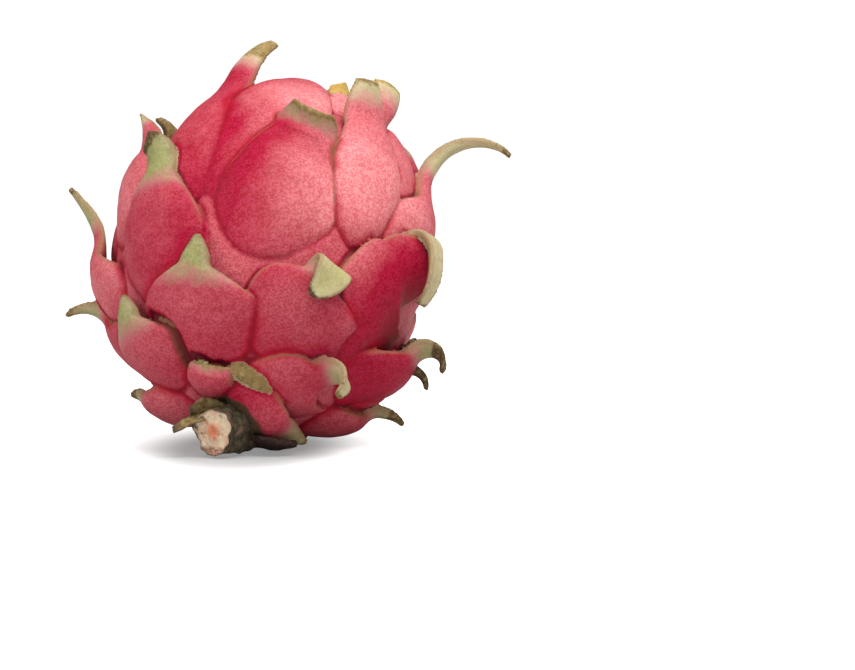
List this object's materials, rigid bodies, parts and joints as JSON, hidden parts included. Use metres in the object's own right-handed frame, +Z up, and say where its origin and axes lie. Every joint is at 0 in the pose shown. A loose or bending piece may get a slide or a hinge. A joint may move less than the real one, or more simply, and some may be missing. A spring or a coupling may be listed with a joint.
{
  "type": "dragon fruit",
  "caption": "Whole ripe dragon fruit with a fleshy red skin of curling leaf scales, a cut stem stub and a dried flower scar, resting on a small flat spot.",
  "frame": {"origin": "centre of the small flat spot under the fruit that it rests on", "axes": "+Z up, +X to the right as seen from the side where the stem stub shows, +Y away from that side; the flower end points up and back"},
  "size_m": [0.1386, 0.1207, 0.1227],
  "materials": {
    "skin": "soft satin, mottled rose red with green and tan scale tips",
    "stem": "dull olive-brown rind with a pale cut face",
    "dried_flower": "dry and papery, tan"
  },
  "bodies": {
    "root": {"fruit": "skin", "stem_stub": "stem", "flower_scar": "dried_flower"}
  },
  "joints": []
}
